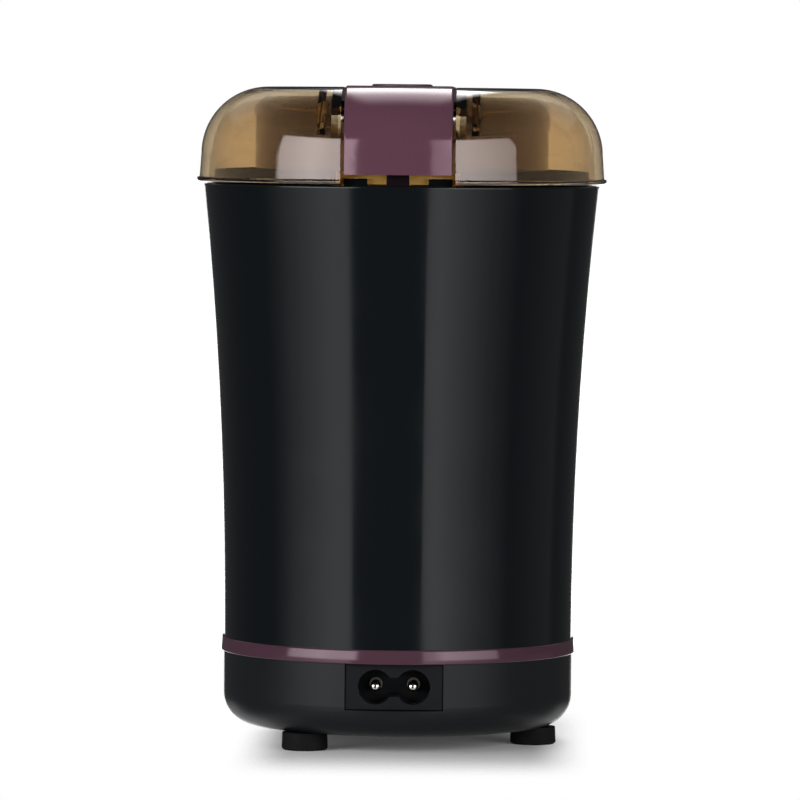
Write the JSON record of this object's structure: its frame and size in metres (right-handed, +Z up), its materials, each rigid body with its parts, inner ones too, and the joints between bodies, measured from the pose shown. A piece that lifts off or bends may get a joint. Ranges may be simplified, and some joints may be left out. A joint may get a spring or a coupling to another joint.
{
  "type": "electric grain mill",
  "caption": "Small electric blade grinder: flared housing with figure-eight mains inlet, steel bowl and blade, and a domed see-through lid whose press bar works the safety switch.",
  "frame": {"origin": "on the mill's axis at the surface that its feet stand on", "axes": "+Z up along the shaft; -Y towards the mains inlet; +X to the right seen from the inlet"},
  "size_m": [0.096, 0.0952, 0.1539],
  "materials": {
    "black_abs": "polished moulded ABS",
    "black_abs_satin": "moulded ABS, fine satin",
    "plum_abs": "polished moulded ABS",
    "amber_clear": "clear amber-tinted plastic",
    "pad_grey": "fine satin",
    "black_rubber": "moulded",
    "clear_silicone": "moulded silicone",
    "stainless": "deep drawn and polished",
    "spring_steel": "drawn wire",
    "zinc_screw": "zinc plated",
    "nickel_brass": "nickel plated brass",
    "bronze": "sintered bronze",
    "copper": "enamelled and turned copper",
    "lamination": "stamped electrical steel",
    "nylon": "moulded nylon",
    "carbon": "pressed carbon",
    "lead_brown": "soft PVC insulation",
    "lead_blue": "soft PVC insulation",
    "lead_black": "soft PVC insulation"
  },
  "bodies": {
    "housing": {"base_housing": "black_abs_satin", "rubber_feet": "black_rubber", "foot_screws": "zinc_screw", "trim_ring": "plum_abs", "body_shell": "black_abs", "inlet_housing": "black_abs_satin", "inlet_pins": "nickel_brass", "bowl_carrier": "black_abs_satin", "grinding_bowl": "stainless", "bowl_gasket": "clear_silicone", "shaft_seal": "nylon", "microswitch": "black_abs_satin", "switch_terminals": "nickel_brass", "switch_screws": "zinc_screw", "stator_core": "lamination", "field_coils": "copper", "upper_bracket": "zinc_screw", "lower_bracket": "zinc_screw", "motor_bolts": "zinc_screw", "shaft_bearings": "bronze", "motor_mounts": "black_rubber", "mount_screws": "zinc_screw", "brush_holders": "nylon", "carbon_brushes": "carbon", "brush_springs": "spring_steel", "wire_live": "lead_brown", "wire_neutral": "lead_blue", "wire_link": "lead_black"},
    "lid": {"lid_dome": "amber_clear", "lid_liner": "nylon", "liner_screws": "zinc_screw", "return_springs": "spring_steel"},
    "press_bar": {"press_bar": "plum_abs", "press_pad": "pad_grey"},
    "slider": {"switch_slider": "nylon"},
    "button": {"switch_button": "nylon"},
    "rotor": {"motor_shaft": "stainless", "armature_core": "lamination", "armature_winding": "copper", "commutator": "copper", "cooling_fan": "nylon", "blade": "stainless", "blade_nut": "nickel_brass"}
  },
  "joints": [
    {"name": "lid_lift", "type": "slide", "parent": "housing", "child": "lid", "axis": [0, 0, 1], "range_m": [0, 0.06]},
    {"name": "bar_press", "type": "slide", "parent": "lid", "child": "press_bar", "axis": [0, 0, -1], "range_m": [0, 0.002], "stiffness_N_per_m": 1500, "springref_m": -0.001, "deforming": ["return_springs"]},
    {"name": "slider_push", "type": "slide", "parent": "housing", "child": "slider", "axis": [0, 0, -1], "range_m": [0, 0.002], "stiffness_N_per_m": 300, "springref_m": -0.0005},
    {"name": "button_push", "type": "slide", "parent": "housing", "child": "button", "axis": [0, 0, -1], "range_m": [0, 0.002], "stiffness_N_per_m": 20, "springref_m": -0.0005},
    {"name": "rotor_spin", "type": "hinge", "parent": "housing", "child": "rotor", "pos_m": [0, 0, 0.1], "axis": [0, 0, 1], "continuous": true}
  ],
  "couplings": [
    {"joint": "slider_push", "follows": "bar_press", "ratio": 1},
    {"joint": "button_push", "follows": "bar_press", "ratio": 1}
  ]
}
